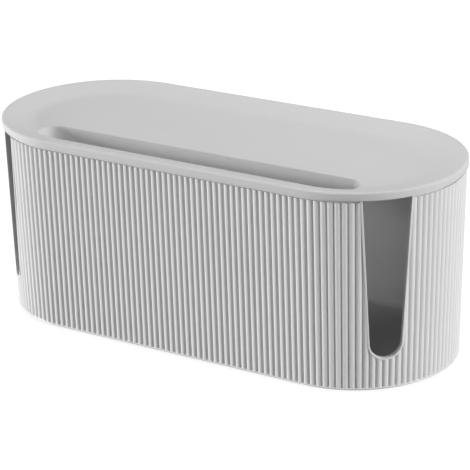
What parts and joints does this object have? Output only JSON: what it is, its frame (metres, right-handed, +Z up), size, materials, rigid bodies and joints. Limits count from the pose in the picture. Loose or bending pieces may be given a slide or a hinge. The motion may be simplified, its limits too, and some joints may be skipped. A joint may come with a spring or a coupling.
{
  "type": "cable management box",
  "caption": "Oval reeded tub with cable slots in its ends and a lift-off dished lid that has a long trough for standing phones and tablets.",
  "frame": {"origin": "on the table, under the middle of the box", "axes": "+X along the length, +Y to the back, away from the device trough and the cable slots, +Z up"},
  "size_m": [0.32, 0.139, 0.129],
  "materials": {
    "tub_plastic": "fine satin moulded",
    "lid_plastic": "fine matt texture",
    "foot_rubber": "matt"
  },
  "bodies": {
    "tub": {"tub": "tub_plastic", "foot_front_left": "foot_rubber", "foot_front_right": "foot_rubber", "foot_rear_left": "foot_rubber", "foot_rear_right": "foot_rubber"},
    "lid": {"lid": "lid_plastic"}
  },
  "joints": [
    {"name": "lid_lift", "type": "slide", "parent": "tub", "child": "lid", "axis": [0, 0, 1], "range_m": [0, 0.08]}
  ]
}
